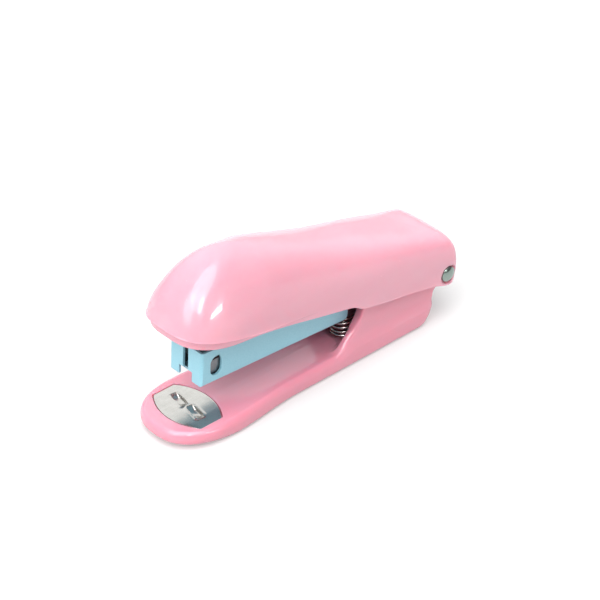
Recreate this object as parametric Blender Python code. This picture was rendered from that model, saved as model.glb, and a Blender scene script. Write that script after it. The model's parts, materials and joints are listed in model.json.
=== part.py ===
"""Compact desktop stapler for 24/6 staples, as separate pieces on their joint axes.

Sizes are in millimetres and turn into metres where a mesh is made. Every piece is drawn level, with
x measured from the pivot pin (negative towards the nose), y across and z up. Pieces of the base are
drawn from the table up; pieces that turn on the pin are drawn from the pin's axis, and their group's
empty tilts them to the stapler's rest pose.
"""

import math

import bmesh
import bpy
from mathutils import Vector

MM = 0.001
GAP = 0.3  # clearance between pieces that touch on the real stapler
PAST = 40.0  # open-ended cutters run this far, well past the piece that they cut

# Driving dimensions
PIVOT_X = 52.52  # puts the middle of the whole stapler over the origin
PIVOT_Z = 17.2
COVER_TILT = 12.5  # degrees, nose up at rest
MAGAZINE_TILT = 3.2
PIN_R = 1.6
PIN_HEAD_R = 2.7
PIN_HOLE_R = PIN_R + GAP
LUG_R = 3.4  # steel lugs on the pin
SHEET = 0.8  # steel of the magazine and the frames
RIVET_R = 0.9
RIVET_HOLE_R = RIVET_R + GAP

# Cover
COVER_NOSE = 107.9
COVER_NOSE_RUN = 23.0
COVER_REAR = 6.0
COVER_REAR_RUN = 5.0
COVER_HALF = 15.4
COVER_REAR_HALF = 14.6
COVER_WALL = 1.8
PIN_SEAT = COVER_REAR_HALF - 0.9  # flat that each head of the pin stands over
COVER_RIM = -2.6  # along the side, ahead of the cheeks
COVER_RIDGE = -2.0  # the widest line round the nose
COVER_SPINE = (-84.5, -9.0)

# Base
BASE_NOSE = 110.9
BASE_REAR = 1.6
BASE_HALF = 15.2
BASE_WAIST = 13.0
BASE_SPINE = (-96.0, -9.0)
BASE_FOOT = 0.3  # the shell's edge stands this far above the table
RIM_Z = 6.1
CHEEK_OUT = 12.2
CHEEK_IN = 8.8
CHEEK_TOP = 22.4
CHEEK_FRONT = -35.0
CHEEK_SCOOP = 12.0
CHEEK_LUG_R = 4.1
HEEL_R = 7.5  # rounds the rear end from below
FLOOR_Z = 5.2
SOLE_Z = 1.5
SPRING_X = -32.6
WELL_R = 5.5
WELL_Z = 2.8

# Anvil plate
PLATE_X = (-101.3, -93.2)
PLATE_HALF = 11.2
PLATE_BULGE = 3.9
PLATE_TOP = 5.95
PLATE_THICK = 1.2

# Magazine
MAG_FRONT = -97.5
MAG_REAR = -37.6
MAG_HALF = 7.5
MAG_Z = (-5.57, 6.33)
WINDOW_X = -91.9
WINDOW_R = 2.05
BLADE_ROOM = 2.4  # between the channel's front wall and the core
CORE_HALF = 5.6
CORE_Z = (-4.4, 0.6)
CORE_REAR = -46.2
CORE_SHEET = 0.6
ROD_Z = -2.1
ROD_R = 0.9
BLOCK_FRONT = -49.2
FRAME_HALF = 6.4
FRAME_RIVET_X = (-43.0, -39.8)
FRAME_RIVET_Z = 0.8
FRAME_WEB = MAG_Z[0] + 0.1  # underside of the inner frame behind the channel
STUD_R = 1.2
PUSHER_FRONT = -94.0
PUSHER_LENGTH = 9.0
TONGUE = 1.9  # half the width of the pusher's tongue

# Driver
BLADE_LEAN = 7.0  # degrees, so that the blade stands square to the magazine in mid stroke
BLADE_FRONT = -96.0
BLADE_THICK = 0.6
BLADE_HALF = 6.2
BLADE_Z = (-1.85, 20.3)
DRIVER_OUT = 7.6
DRIVER_TOP = 10.8
DRIVER_SHEET = 1.0  # its top
DRIVER_FRONT = -97.4
DRIVER_EDGE = 6.6  # lower edge of its sides
BLADE_RIVET_Y = 3.2
BLADE_RIVET_Z = 15.6  # square to the magazine
LEAF_X = -57.0
LEAF_THICK = 0.5

PINK = (0.93, 0.47, 0.55)
BLUE = (0.36, 0.66, 0.75)
STEEL = (0.62, 0.62, 0.62)
DARK_PLASTIC = (0.34, 0.33, 0.34)
BRIGHT_STEEL = (0.82, 0.82, 0.80)
RUBBER = (0.16, 0.14, 0.15)


def clear_scene():
    for thing in list(bpy.data.objects):
        bpy.data.objects.remove(thing, do_unlink=True)


def material(name, colour, roughness, metallic=0.0):
    made = bpy.data.materials.new(name)
    made.use_nodes = True
    shader = made.node_tree.nodes["Principled BSDF"]
    shader.inputs["Base Color"].default_value = (*colour, 1.0)
    shader.inputs["Roughness"].default_value = roughness
    shader.inputs["Metallic"].default_value = metallic
    return made


def group(name, z, tilt=0.0):
    """An empty on the pivot's axis that a body's pieces hang on."""
    empty = bpy.data.objects.new(name, None)
    empty.location = (PIVOT_X * MM, 0, z * MM)
    empty.rotation_euler = (0, math.radians(tilt), 0)
    bpy.context.collection.objects.link(empty)
    return empty


def piece(name, shape, finish, parent, smooth=35):
    """A named object from a bmesh in millimetres."""
    bmesh.ops.scale(shape, vec=Vector((MM, MM, MM)), verts=shape.verts)
    bmesh.ops.recalc_face_normals(shape, faces=shape.faces)
    mesh = bpy.data.meshes.new(name)
    shape.to_mesh(mesh)
    shape.free()
    mesh.shade_smooth()
    mesh.set_sharp_from_angle(angle=math.radians(smooth))
    if finish:
        mesh.materials.append(finish)
    made = bpy.data.objects.new(name, mesh)
    made.parent = parent
    bpy.context.collection.objects.link(made)
    return made


def tool(name, shape, parent):
    """A cutter or an added block that is not a piece itself."""
    made = piece(name, shape, None, parent)
    made.hide_render = True
    made.display_type = "WIRE"
    return made


def combine(target, other, operation):
    step = target.modifiers.new(operation.lower(), "BOOLEAN")
    step.object = other
    step.operation = operation
    step.solver = "EXACT"


def cut(target, name, shape):
    combine(target, tool("cut_" + name, shape, target.parent), "DIFFERENCE")


def add(target, name, shape):
    combine(target, tool("add_" + name, shape, target.parent), "UNION")


def keep(target, name, shape):
    combine(target, tool("keep_" + name, shape, target.parent), "INTERSECT")


# Shapes


def prism(axis, outline, low, high):
    """An outline pushed along an axis. Y takes (x, z) points, Z takes (x, y) and X takes (y, z)."""
    place = {
        "X": lambda a, b, h: (h, a, b),
        "Y": lambda a, b, h: (a, h, b),
        "Z": lambda a, b, h: (a, b, h),
    }[axis]
    shape = bmesh.new()
    rings = [[shape.verts.new(place(a, b, h)) for a, b in outline] for h in (low, high)]
    shape.faces.new(rings[0])
    shape.faces.new(list(reversed(rings[1])))
    count = len(outline)
    for i in range(count):
        after = (i + 1) % count
        shape.faces.new((rings[0][after], rings[0][i], rings[1][i], rings[1][after]))
    return shape


def box(x, y, z):
    return prism("Z", [(x[0], y[0]), (x[1], y[0]), (x[1], y[1]), (x[0], y[1])], *z)


def arc(centre, radius, start, end, steps):
    """Points on an arc, angles in degrees from the first axis."""
    turn = [math.radians(start + (end - start) * i / steps) for i in range(steps + 1)]
    return [(centre[0] + radius * math.cos(t), centre[1] + radius * math.sin(t)) for t in turn]


def rod(axis, centre, radius, low, high, sides=24):
    return prism(axis, arc(centre, radius, 0, 360 * (1 - 1 / sides), sides - 1), low, high)


def turned(axis, centre, profile, sides=24):
    """A solid of revolution about an axis line: profile is (radius, place along the axis)."""
    place = {
        "X": lambda a, b, h: (h, centre[0] + a, centre[1] + b),
        "Y": lambda a, b, h: (centre[0] + a, h, centre[1] + b),
        "Z": lambda a, b, h: (centre[0] + a, centre[1] + b, h),
    }[axis]
    shape = bmesh.new()
    rings = []
    for radius, height in profile:
        circle = arc((0, 0), radius, 0, 360 * (1 - 1 / sides), sides - 1)
        rings.append([shape.verts.new(place(a, b, height)) for a, b in circle])
    shape.faces.new(rings[0])
    shape.faces.new(list(reversed(rings[-1])))
    bridge(shape, rings)
    return shape


def bridge(shape, rings):
    """Quads between closed rings of equal length."""
    for low, high in zip(rings, rings[1:]):
        count = len(low)
        for i in range(count):
            after = (i + 1) % count
            corners = (low[i], low[after], high[after], high[i])
            if len({v.co.to_tuple(6) for v in corners}) > 2:
                shape.faces.new(corners)


def spring(axis, centre, coil_r, wire_r, low, high, turns, steps=14, sides=6):
    """A coil spring whose wire is swept by a loop, between two planes across the axis."""
    low += wire_r
    high -= wire_r
    place = {
        "X": lambda a, b, h: Vector((h, centre[0] + a, centre[1] + b)),
        "Z": lambda a, b, h: Vector((centre[0] + a, centre[1] + b, h)),
    }[axis]
    shape = bmesh.new()
    rings = []
    count = round(turns * steps)
    for i in range(count + 1):
        share = i / count
        angle = 2 * math.pi * turns * share
        middle = place(coil_r * math.cos(angle), coil_r * math.sin(angle), low + (high - low) * share)
        outward = place(math.cos(angle), math.sin(angle), 0) - place(0, 0, 0)
        along = place(0, 0, 1) - place(0, 0, 0)
        ring = []
        for k in range(sides):
            t = 2 * math.pi * k / sides
            ring.append(shape.verts.new(middle + wire_r * (math.cos(t) * outward + math.sin(t) * along)))
        rings.append(ring)
    shape.faces.new(rings[0])
    shape.faces.new(list(reversed(rings[-1])))
    bridge(shape, rings)
    return shape


def ease(value, start, end):
    """0 before start and 1 after end, with a smooth step between."""
    t = min(1.0, max(0.0, (value - start) / (end - start)))
    return t * t * (3 - 2 * t)


def side_stations(start, end, count):
    """Places along the straight side, closer together round the cheeks' front."""
    places = [start + (end - start) * i / count for i in range(count)]
    close = [CHEEK_FRONT + 1.2 * i for i in range(-8, 2)]
    return sorted([x for x in places if not close[0] - 1 < x < close[-1] + 1] + close)


def side_outline(nose, nose_run, half, waist, taper, rear, rear_run, power, counts):
    """One side of a plan outline from the nose's tip to the middle of the rear, as (x, y)."""
    points = []
    for i in range(counts[0]):
        t = math.radians(90 * i / counts[0])
        x = -nose + nose_run * (1 - math.cos(t) ** (2 / power))
        points.append((x, half * math.sin(t) ** (2 / power)))
    start, end = -nose + nose_run, rear - rear_run
    for x in side_stations(start, end, counts[1]):
        points.append((x, half + (waist - half) * ease(x, *taper)))
    for i in range(counts[2] + 1):
        t = math.radians(90 * i / counts[2])
        points.append((end + rear_run * math.sin(t) ** (2 / 3), waist * math.cos(t) ** (2 / 3)))
    points[-1] = (rear, 0.0)
    return points


def spine_x(x, spine):
    """The place on the centre line that a point of the outline closes towards."""
    reach = 6.0
    if x < spine[0] + reach:
        return spine[0] + reach * max(0.0, (x - spine[0] + 25) / (25 + reach))
    return min(x, spine[1] - 2.0 + 2.0 * ease(x, spine[1] - 2, spine[1] + 12))


def ringed(outline, rings):
    """A closed body from rings round a mirrored outline; a ring gives each point's x, y and z."""
    shape = bmesh.new()
    loop = [(x, y) for x, y in outline] + [(x, -y) for x, y in reversed(outline[1:-1])]
    rows = [[shape.verts.new(ring(x, y)) for x, y in loop] for ring in rings]
    bridge(shape, rows)
    bmesh.ops.remove_doubles(shape, verts=shape.verts, dist=1e-4)
    return shape


# Cover


def cover_top(x):
    """Height of the crown line over the pin: high over the nose, lower along the hand rest."""
    return 22.3 - 5.6 * ease(x, -90, -38) - 3.4 * ease(x, -46, 0)


def cover_side(inset, counts=(12, 16, 6)):
    return side_outline(
        COVER_NOSE - inset, COVER_NOSE_RUN - inset, COVER_HALF - inset, COVER_REAR_HALF - inset,
        (-92, -45), COVER_REAR - inset, COVER_REAR_RUN - inset, 3.1, counts)


def cover_power(x):
    """How square the cross-section is: round at the nose, square-shouldered towards the rear."""
    return 1.95 + 0.9 * ease(x, -100, -45) + 1.2 * ease(x, -50, -10)


def ridge(x):
    """Height of the widest line: a ridge close over the lower edge at the nose, then the pin's level."""
    return COVER_RIDGE * (1 - ease(x, -84, -50))


def cover_point(x, y, share, inset):
    """A point of the dome: share runs from 0 at the widest line to 1 on the crown."""
    power = cover_power(x)
    turn = math.radians(90 * share)
    out, up = math.cos(turn) ** (2 / power), math.sin(turn) ** (2 / power)
    middle = spine_x(x, COVER_SPINE)
    z = ridge(x) + (cover_top(middle) - inset - ridge(x)) * up
    px = middle + (x - middle) * out
    lean = math.tan(math.radians(COVER_TILT)) * ease(px, -14, COVER_REAR)
    return (px - lean * max(0.0, z - 2), y * out, z)


def cover_rim(x):
    """Height of the lower edge: it droops at the nose, hangs lower over the cheeks and round the
    pin's lug, and curls up behind the pin."""
    curl = math.sqrt(max(0.002, 1 - (max(0.0, x) / COVER_REAR) ** 2))
    over_cheeks = 1.6 * ease(x, -43, -36.5) - 0.9 * ease(x, -34, -12)
    return (COVER_RIM - 2.3 * (1 - ease(x, -100, -62)) - over_cheeks - 0.7 * ease(x, -6, 0)) * curl


def cover_skirt(x, y, share):
    """A point below the widest line: share runs from 0 there to 1 on the rim, which is undercut all
    round the nose."""
    tuck = 1.5 * (1 - ease(x, -84, -50))
    middle = spine_x(x, COVER_SPINE)
    reach = math.hypot(x - middle, y) or 1.0
    pull = 1 - tuck * share / reach
    z = ridge(x) + (cover_rim(x) - ridge(x)) * share
    return (middle + (x - middle) * pull, y * pull, z)


def make_cover_shell(pink, cover):
    outer = cover_side(0)
    inner = dict(zip(outer, cover_side(COVER_WALL)))
    mirror = {(x, -y): (a, -b) for (x, y), (a, b) in inner.items()}
    inner.update(mirror)
    rings = []
    for share in (1.0, 0.8, 0.6, 0.42, 0.28, 0.16, 0.07):
        rings.append(lambda x, y, s=share: cover_point(*inner[(x, y)], s, COVER_WALL))
    for share in (0.0, 0.5, 1.0):
        rings.append(lambda x, y, s=share: inner_skirt(inner[(x, y)], (x, y), s))
    for share in (1.0, 0.66, 0.33):
        rings.append(lambda x, y, s=share: cover_skirt(x, y, s))
    for share in (0.0, 0.07, 0.16, 0.28, 0.42, 0.6, 0.8, 1.0):
        rings.append(lambda x, y, s=share: cover_point(x, y, s, 0))
    shell = piece("cover_shell", ringed(outer, rings), pink, cover)
    opening = CHEEK_OUT + 0.5
    cut(shell, "rear_opening", box((-1.5, PAST), (-opening, opening), (-PAST, 4.8)))
    seat_r = PIN_HEAD_R + 0.45
    bore = [(seat_r, -PAST), (seat_r, -PIN_SEAT), (PIN_HOLE_R, -PIN_SEAT)]
    bore += [(r, -y) for r, y in reversed(bore)]
    cut(shell, "cover_pin_hole", turned("Y", (0, 0), bore, 28))


def inner_skirt(inside, outside, share):
    """The inner side of the skirt keeps the outer rim's height."""
    x, y, _ = cover_skirt(*inside, share)
    top = ridge(outside[0])
    return (x, y, top + (cover_rim(outside[0]) - top) * share)


# Base


def base_side(counts=(12, 18, 6)):
    return side_outline(
        BASE_NOSE, 19, BASE_HALF, BASE_WAIST, (-91, -63), -BASE_REAR, 7, 2.4, counts)


def inward(x, y, distance):
    """A plan point moved in from the outline towards the spine by a distance."""
    middle = spine_x(x, BASE_SPINE)
    reach = math.hypot(x - middle, y) or 1.0
    t = min(1.0, distance / reach)
    return middle + (x - middle) * (1 - t), y * (1 - t)


def heel_shift(x, z):
    """How far forward the rounding of the heel moves a point of the rear end."""
    low = max(0.0, HEEL_R - z) / HEEL_R
    return HEEL_R * (1 - math.sqrt(1 - low ** 2)) * ease(x, -16, -3)


def base_ring(distance, z, shift_z=None):
    """A level ring, rounded at the heel as for its own height or another."""

    def ring(x, y):
        px, py = inward(x, y, distance)
        return (px - heel_shift(px, z if shift_z is None else shift_z), py, z)

    return ring


def flank_ring(distance, front, rear):
    """A ring whose height rises from the tongue's rim to the foot of the cheeks."""

    def ring(x, y):
        px, py = inward(x, y, distance)
        rise = ease(px, CHEEK_FRONT - 12, CHEEK_FRONT - 3)
        z = front + (rear - front) * rise
        return (px - heel_shift(px, z), py * (1 - 0.03 * rise * min(1.0, distance)), z)

    return ring


def trough_ring(share, depth):
    """A ring of the top surface, which sinks into a shallow trough behind the anvil."""

    def ring(x, y):
        middle = spine_x(x, BASE_SPINE)
        px = middle + (x - middle) * (1 - share)
        return (px, y * (1 - share), RIM_Z - 0.1 - depth * ease(px, -92, -73))

    return ring


def cheek_profile():
    """Side view of the cheeks: a scooped front, a flat top and a round lug on the pin."""
    scoop = []
    foot = RIM_Z - 0.5
    for i in range(11):
        t = i / 10
        scoop.append((CHEEK_FRONT - CHEEK_SCOOP * (1 - t) ** 2.2, foot + (CHEEK_TOP - foot) * t))
    lug = arc((0, PIVOT_Z), CHEEK_LUG_R, 90, -60, 10)
    heel = [(-0.8, 13.2), (-3.2, 12.6), (-4.2, 11.4), (-4.6, 9.0), (-4.8, 7.0), (-6.0, 3.0)]
    return [(scoop[0][0], 3.0)] + scoop + lug + heel


def cheek_section():
    """Cross-section of the cheek block, narrowed a little along its top edges."""
    half = [(CHEEK_OUT, 3.0), (CHEEK_OUT, CHEEK_TOP - 0.8), (CHEEK_OUT - 0.6, CHEEK_TOP + 0.5)]
    return half + [(-y, z) for y, z in reversed(half)]


def plate_outline(grow=0.0):
    """The anvil plate's outline: two straight ends and two bowed sides."""
    half, bulge = PLATE_HALF + grow, PLATE_BULGE
    radius = (half ** 2 + bulge ** 2) / (2 * bulge)
    spread = math.degrees(math.asin(half / radius))
    front = arc((PLATE_X[0] - grow - bulge + radius, 0), radius, 180 + spread, 180 - spread, 12)
    rear = arc((PLATE_X[1] + grow + bulge - radius, 0), radius, spread, -spread, 12)
    return front + rear


def make_base_shell(pink, base):
    rings = [
        base_ring(99, SOLE_Z + GAP), base_ring(1.9, SOLE_Z + GAP, BASE_FOOT), base_ring(1.9, BASE_FOOT),
        base_ring(0.9, BASE_FOOT), base_ring(0.3, 0.7), base_ring(0, 1.5), flank_ring(0, 2.4, 3.4),
        flank_ring(0, 3.7, 6.2),
        flank_ring(0.25, 4.9, 8.0), flank_ring(0.85, 5.7, 9.6), flank_ring(1.8, RIM_Z, 10.8),
        flank_ring(3.0, RIM_Z - 0.1, 10.8),
        trough_ring(0.35, 0.25), trough_ring(0.6, 0.8), trough_ring(0.8, 1.15), trough_ring(1.0, 1.3),
    ]
    shell = piece("base_shell", ringed(base_side(), rings), pink, base)
    cheeks = tool("add_cheeks", prism("X", cheek_section(), CHEEK_FRONT - 13, 9), base)
    keep(cheeks, "cheek_profile", prism("Y", cheek_profile(), -PAST, PAST))
    combine(shell, cheeks, "UNION")
    cut(shell, "magazine_slot", box((-60, PAST), (-CHEEK_IN, CHEEK_IN), (FLOOR_Z, PAST)))
    cut(shell, "spring_well", rod("Z", (SPRING_X, 0), WELL_R, WELL_Z, FLOOR_Z + 1, 28))
    cut(shell, "base_pin_hole", rod("Y", (0, PIVOT_Z), PIN_HOLE_R, -PAST, PAST))
    pocket = PLATE_TOP - PLATE_THICK - GAP
    cut(shell, "anvil_recess", prism("Z", plate_outline(GAP), pocket, PAST))


def make_base_sole(rubber, base):
    outline = [base_ring(2.2, BASE_FOOT)(x, y)[:2] for x, y in base_side((10, 10, 5))]
    loop = outline + [(x, -y) for x, y in reversed(outline[1:-1])]
    piece("base_sole", prism("Z", loop, 0, SOLE_Z), rubber, base)


def groove(x, y):
    """A clinch groove: a short channel with round ends."""
    reach, half = 2.4, 1.0
    ends = arc((y + reach, x), half, -90, 90, 6) + arc((y - reach, x), half, 90, 270, 6)
    return prism("Z", [(b, a) for a, b in ends], PLATE_TOP - 0.7, PAST)


def make_anvil_plate(steel, base):
    plate = piece("anvil_plate", prism("Z", plate_outline(), PLATE_TOP - PLATE_THICK, PLATE_TOP), steel, base)
    middle = (PLATE_X[0] + PLATE_X[1]) / 2
    cut(plate, "near_groove", groove(middle - 0.9, -3.8))
    cut(plate, "far_groove", groove(middle + 0.9, 3.8))


def make_return_spring(steel, base):
    top = PIVOT_Z - 4.15
    coil = spring("Z", (SPRING_X, 0), 4.2, 0.5, WELL_Z + GAP, top, 6)
    piece("return_spring", coil, steel, base)


def make_pin(steel, base):
    """The pivot pin with its near head, the far head pressed on its end, and the middle spacer."""
    face = PIN_SEAT + GAP
    top = COVER_REAR_HALF + 0.55
    cap = [(PIN_HEAD_R, face), (PIN_HEAD_R, top - 0.45), (PIN_HEAD_R - 0.5, top), (0.8, top + 0.1)]
    pin = [(PIN_R, top - 0.9), (PIN_R, -face)] + [(r, -y) for r, y in cap]
    piece("pivot_pin", turned("Y", (0, PIVOT_Z), pin, 28), steel, base)
    far_head = piece("pivot_cap", turned("Y", (0, PIVOT_Z), cap, 28), steel, base)
    cut(far_head, "cap_bore", rod("Y", (0, PIVOT_Z), PIN_R + 0.02, 0, top - 0.85, 28))
    reach = FRAME_HALF - SHEET - 0.4
    tube = piece("pivot_spacer", rod("Y", (0, PIVOT_Z), 2.6, -reach, reach), steel, base)
    cut(tube, "spacer_bore", rod("Y", (0, PIVOT_Z), PIN_HOLE_R, -PAST, PAST))


# Magazine


def make_magazine_channel(blue, magazine):
    """Folded steel channel for the staples, with a slotted front and a window in each side."""
    low, high = MAG_Z
    heel = arc((MAG_REAR - 2.5, low + 2.5), 2.5, -90, 0, 5)
    side = [(MAG_FRONT, low)] + heel + [(MAG_REAR, high), (MAG_FRONT, high)]
    channel = piece("magazine_channel", prism("Y", side, -MAG_HALF, MAG_HALF), blue, magazine)
    bend = 1.3
    corner = arc((MAG_FRONT + bend, -MAG_HALF + bend), bend, 180, 270, 5)
    plan = corner + [(0, -MAG_HALF), (0, MAG_HALF)] + [(x, -y) for x, y in reversed(corner)]
    keep(channel, "front_bends", prism("Z", plan, -PAST, PAST))
    inside = MAG_HALF - SHEET
    cut(channel, "staple_room", box((MAG_FRONT + SHEET, 0), (-inside, inside), (low + SHEET, PAST)))
    front = (MAG_FRONT - 1, MAG_FRONT + SHEET + 0.7)
    cut(channel, "front_slot", box(front, (-1.2, 1.2), (-PAST, PAST)))
    cut(channel, "front_notch", box(front, (-3.35, 3.35), (-PAST, low + 3.9)))
    mouth = (MAG_FRONT + SHEET, MAG_FRONT + SHEET + BLADE_ROOM)
    cut(channel, "staple_mouth", box(mouth, (-inside + 0.1, inside - 0.1), (-PAST, low + SHEET + 0.4)))
    window = arc((WINDOW_X, 1.4), WINDOW_R, 0, 180, 8) + arc((WINDOW_X, -0.9), WINDOW_R, 180, 360, 8)
    cut(channel, "windows", prism("Y", window, -PAST, PAST))
    for x in FRAME_RIVET_X:
        cut(channel, "channel_rivet_hole", rod("Y", (x, FRAME_RIVET_Z), RIVET_HOLE_R, -PAST, PAST, 16))


def make_magazine_frame(steel, magazine):
    """Steel inner frame: two cheeks and a web, riveted into the channel, with lugs on the pin."""
    lug = arc((0, 0), LUG_R, 80, -80, 10)
    front, web, top = -44.6, MAG_Z[0] + SHEET + GAP, 5.2
    side = [(front, web), (MAG_REAR + GAP, web), (MAG_REAR + GAP, FRAME_WEB), (-8, FRAME_WEB)]
    side += list(reversed(lug)) + [(-9, 4.4), (-24, top), (front, top)]
    frame = piece("magazine_frame", prism("Y", side, -FRAME_HALF, FRAME_HALF), steel, magazine)
    inside = FRAME_HALF - SHEET
    step = MAG_REAR + SHEET
    cut(frame, "frame_front_room", box((-50, step + 0.1), (-inside, inside), (web + SHEET, PAST)))
    cut(frame, "frame_rear_room", box((step - 0.1, -8), (-inside, inside), (FRAME_WEB + SHEET, PAST)))
    cut(frame, "frame_lug_room", box((-8.2, PAST), (-inside, inside), (-PAST, PAST)))
    cut(frame, "frame_pin_hole", rod("Y", (0, 0), PIN_HOLE_R, -PAST, PAST))
    cut(frame, "stud_hole", rod("Z", (SPRING_X, 0), STUD_R + GAP, -PAST, 0, 16))
    for x in FRAME_RIVET_X:
        cut(frame, "frame_rivet_hole", rod("Y", (x, FRAME_RIVET_Z), RIVET_HOLE_R, -PAST, PAST, 16))


def make_spring_stud(steel, magazine):
    """The button under the inner frame that the return spring's coil fits round."""
    under, over = FRAME_WEB - GAP, FRAME_WEB + SHEET + GAP
    profile = [
        (2.4, under - 1.9), (2.9, under - 1.4), (2.9, under), (STUD_R, under), (STUD_R, over),
        (2.0, over), (2.0, over + 0.6), (1.5, over + 0.8),
    ]
    piece("spring_stud", turned("Z", (SPRING_X, 0), profile, 20), steel, magazine)


def make_frame_rivets(steel, magazine):
    """Four short rivets hold the channel and the frame together, two a side."""
    inner = FRAME_HALF - SHEET - GAP
    head = [(1.5, inner - 0.4), (1.5, inner)]
    shank = [(RIVET_R, inner), (RIVET_R, MAG_HALF - 0.1), (RIVET_R - 0.15, MAG_HALF)]
    for x, place in zip(FRAME_RIVET_X, ("front", "rear")):
        for side, word in ((-1, "near"), (1, "far")):
            profile = [(r, side * y) for r, y in head + shank]
            shape = turned("Y", (x, FRAME_RIVET_Z), profile, 16)
            piece(f"frame_rivet_{place}_{word}", shape, steel, magazine)


def make_staple_core(steel, magazine):
    """The rail that the staples sit astride, slotted along its top for the pusher's tongue."""
    front = MAG_FRONT + SHEET + BLADE_ROOM
    core = piece("staple_core", box((front, CORE_REAR), (-CORE_HALF, CORE_HALF), CORE_Z), steel, magazine)
    inside, roof = CORE_HALF - CORE_SHEET, CORE_Z[1] - CORE_SHEET
    cut(core, "spring_room", box((front - 1, CORE_REAR - 1.0), (-inside, inside), (-PAST, roof)))
    cut(core, "tongue_slot", box((front - 1, -57), (-TONGUE - GAP, TONGUE + GAP), (roof - 1, PAST)))
    cut(core, "core_rod_hole", rod("X", (0, ROD_Z), ROD_R + GAP, CORE_REAR - 9, PAST, 16))


def make_guide_rod(steel, magazine):
    """The rod inside the pusher's spring, with a head behind the core's rear wall."""
    head, front = CORE_REAR + GAP, PUSHER_FRONT + 0.4
    profile = [(ROD_R - 0.3, front), (ROD_R, front + 0.5), (ROD_R, head), (1.7, head), (1.7, head + 0.9)]
    piece("guide_rod", turned("X", (0, ROD_Z), profile, 16), steel, magazine)


def make_rear_block(dark, magazine):
    """The block that the pusher's spring pushes back against."""
    rear = CORE_REAR - 1.0 - GAP
    shape = box((BLOCK_FRONT, rear), (-3.6, 3.6), (ROD_Z - 2.1, ROD_Z + 1.8))
    block = piece("spring_block", shape, dark, magazine)
    cut(block, "block_bore", rod("X", (0, ROD_Z), ROD_R + GAP, BLOCK_FRONT - 9, PAST, 16))


def make_pusher_spring(steel, magazine):
    start = PUSHER_FRONT + PUSHER_LENGTH + GAP
    coil = spring("X", (0, ROD_Z), 1.55, 0.25, start, BLOCK_FRONT - GAP, 16, steps=8, sides=4)
    piece("pusher_spring", coil, steel, magazine)


def make_pusher(steel, slide):
    """A saddle over the core, with a tongue through its slot that rides on the rod."""
    front, rear = PUSHER_FRONT, PUSHER_FRONT + PUSHER_LENGTH
    leg, inside = CORE_HALF + 0.8, CORE_HALF + GAP
    shape = box((front, rear), (-leg, leg), (CORE_Z[0] + 0.2, CORE_Z[1] + 1.2))
    pusher = piece("pusher", shape, steel, slide)
    cut(pusher, "saddle", box((front - 1, rear + 1), (-inside, inside), (-PAST, CORE_Z[1] + GAP)))
    add(pusher, "tongue", box((front, rear), (-TONGUE, TONGUE), (ROD_Z - 1.9, CORE_Z[1] + 0.5)))
    cut(pusher, "pusher_bore", rod("X", (0, ROD_Z), ROD_R + GAP, front - 9, rear + 9, 16))


# Driver, inside the cover


def leaned(x, z):
    """A point drawn square to the magazine, turned into the cover's own frame."""
    t = math.radians(BLADE_LEAN)
    return x * math.cos(t) - z * math.sin(t), x * math.sin(t) + z * math.cos(t)


def make_driver_frame(steel, cover):
    """Inverted steel channel from the pin to the nose that carries the blade."""
    top, under = DRIVER_TOP, DRIVER_EDGE
    side = [(DRIVER_FRONT, under), (-14, under), (-5, 0)] + arc((0, 0), LUG_R, 200, 430, 14)
    side += [(-2.2, 6.8), (-5.6, top), (DRIVER_FRONT, top)]
    frame = piece("driver_frame", prism("Y", side, -DRIVER_OUT, DRIVER_OUT), steel, cover)
    inside = DRIVER_OUT - SHEET
    room = (DRIVER_FRONT - PAST, PAST)
    cut(frame, "driver_room", box(room, (-inside, inside), (-PAST, top - DRIVER_SHEET)))
    cut(frame, "driver_pin_hole", rod("Y", (0, 0), PIN_HOLE_R, -PAST, PAST))
    flange_x = BLADE_FRONT + BLADE_THICK + GAP
    flange = [(flange_x, 11.2), (flange_x + 1, 11.2), (flange_x + 1, 22.3), (flange_x, 22.3)]
    add(frame, "blade_flange", prism("Y", [leaned(x, z) for x, z in flange], -5.8, 5.8))
    for y in (-BLADE_RIVET_Y, BLADE_RIVET_Y):
        cut(frame, "flange_rivet_hole", leaned_rod(RIVET_HOLE_R, y, BLADE_FRONT - 1, BLADE_FRONT + 3))
    cut(frame, "leaf_rivet_hole", rod("Z", (LEAF_X, 0), RIVET_HOLE_R, top - 3, PAST, 16))


def leaned_rod(radius, y, low, high):
    shape = rod("X", (y, BLADE_RIVET_Z), radius, low, high, 16)
    lean_shape(shape)
    return shape


def lean_shape(shape):
    for vert in shape.verts:
        vert.co.x, vert.co.z = leaned(vert.co.x, vert.co.z)


def make_driver_blade(steel, cover):
    shape = box((BLADE_FRONT, BLADE_FRONT + BLADE_THICK), (-BLADE_HALF, BLADE_HALF), BLADE_Z)
    lean_shape(shape)
    blade = piece("driver_blade", shape, steel, cover)
    for y in (-BLADE_RIVET_Y, BLADE_RIVET_Y):
        cut(blade, "blade_rivet_hole", leaned_rod(RIVET_HOLE_R, y, BLADE_FRONT - 1, BLADE_FRONT + 3))


def make_driver_rivets(steel, cover):
    front, rear = BLADE_FRONT - GAP, BLADE_FRONT + BLADE_THICK + 2 * GAP + 1.0
    front_head = [(1.4, front - 0.5), (1.8, front), (RIVET_R, front)]
    rear_head = [(RIVET_R, rear), (1.8, rear), (1.4, rear + 0.6)]
    for side, word in ((-1, "near"), (1, "far")):
        shape = turned("X", (side * BLADE_RIVET_Y, BLADE_RIVET_Z), front_head + rear_head, 16)
        lean_shape(shape)
        piece(f"driver_rivet_{word}", shape, steel, cover)


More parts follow.
